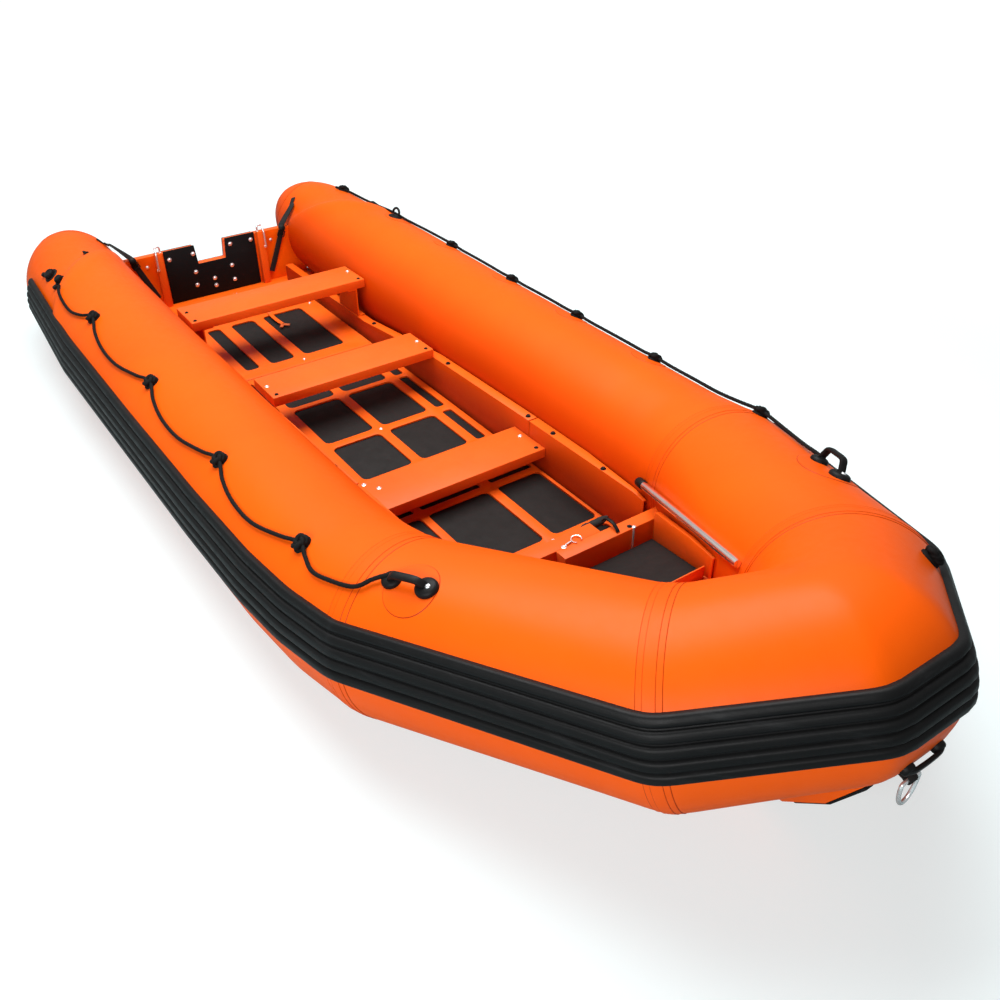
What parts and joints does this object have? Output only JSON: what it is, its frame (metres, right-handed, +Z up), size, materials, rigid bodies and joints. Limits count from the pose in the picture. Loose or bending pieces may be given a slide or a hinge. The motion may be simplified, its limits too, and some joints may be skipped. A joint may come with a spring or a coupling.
{
  "type": "rigid inflatable boat",
  "caption": "Open rigid inflatable boat: orange U-shaped collar with a ribbed black strake on a V hull, cross thwarts, floor grid, motor transom, lifelines and a bow towing ring.",
  "frame": {"origin": "middle of the boat's length and width, on the floor it stands on", "axes": "+X forward to the bow, +Y to port, +Z up"},
  "size_m": [4.4452, 1.8538, 0.7893],
  "materials": {
    "tube_fabric": "coated, semi-gloss",
    "strake_rubber": "satin",
    "hull_paint": "gloss paint",
    "metal_paint": "gloss paint",
    "floor_mat": "matt",
    "motor_plate": "satin",
    "steel": "polished",
    "webbing": "woven",
    "pole_metal": "satin",
    "black_plastic": "satin"
  },
  "bodies": {
    "boat": {"boat_hook_pole": "pole_metal", "bow_deck": "hull_paint", "bow_handle": "black_plastic", "bow_mat": "floor_mat", "collar_bow": "tube_fabric", "collar_quarter_port": "tube_fabric", "collar_quarter_starboard": "tube_fabric", "collar_side_port": "tube_fabric", "collar_side_starboard": "tube_fabric", "crossbeam_aft": "metal_paint", "crossbeam_fore": "metal_paint", "floor_grid_aft": "metal_paint", "floor_grid_fore": "metal_paint", "floor_grid_mid": "metal_paint", "handle_port": "black_plastic", "handle_starboard": "black_plastic", "hull": "hull_paint", "keel_guard": "strake_rubber", "lifeline_port": "webbing", "lifeline_starboard": "webbing", "lifting_eye_port": "steel", "lifting_eye_starboard": "steel", "loop_port_stern": "black_plastic", "mat_aft": "floor_mat", "mat_fore": "floor_mat", "mat_mid": "floor_mat", "motor_plate_inner": "motor_plate", "motor_plate_outer": "motor_plate", "strake_bow": "strake_rubber", "strake_port": "strake_rubber", "strake_starboard": "strake_rubber", "stringer_aft_port": "metal_paint", "stringer_aft_starboard": "metal_paint", "stringer_bow_port": "metal_paint", "stringer_bow_starboard": "metal_paint", "stringer_mid_port": "metal_paint", "stringer_mid_starboard": "metal_paint", "thwart_aft": "metal_paint", "thwart_bracket_port": "metal_paint", "thwart_bracket_starboard": "metal_paint", "thwart_fore": "metal_paint", "thwart_mid": "metal_paint", "towing_bracket": "webbing", "transom_board": "metal_paint", "transom_post_port": "metal_paint", "transom_post_starboard": "metal_paint", "transom_strap_port": "webbing", "transom_strap_starboard": "webbing", "valve_aft_port": "black_plastic", "valve_aft_starboard": "black_plastic", "valve_fore_port": "black_plastic", "valve_fore_starboard": "black_plastic"},
    "towing_ring": {"towing_ring": "steel"}
  },
  "joints": [
    {"name": "towing_ring_swing", "type": "hinge", "parent": "boat", "child": "towing_ring", "pos_m": [2.18629, 0, 0.403], "axis": [0, 1, 0], "range_deg": [-100, 45]}
  ]
}
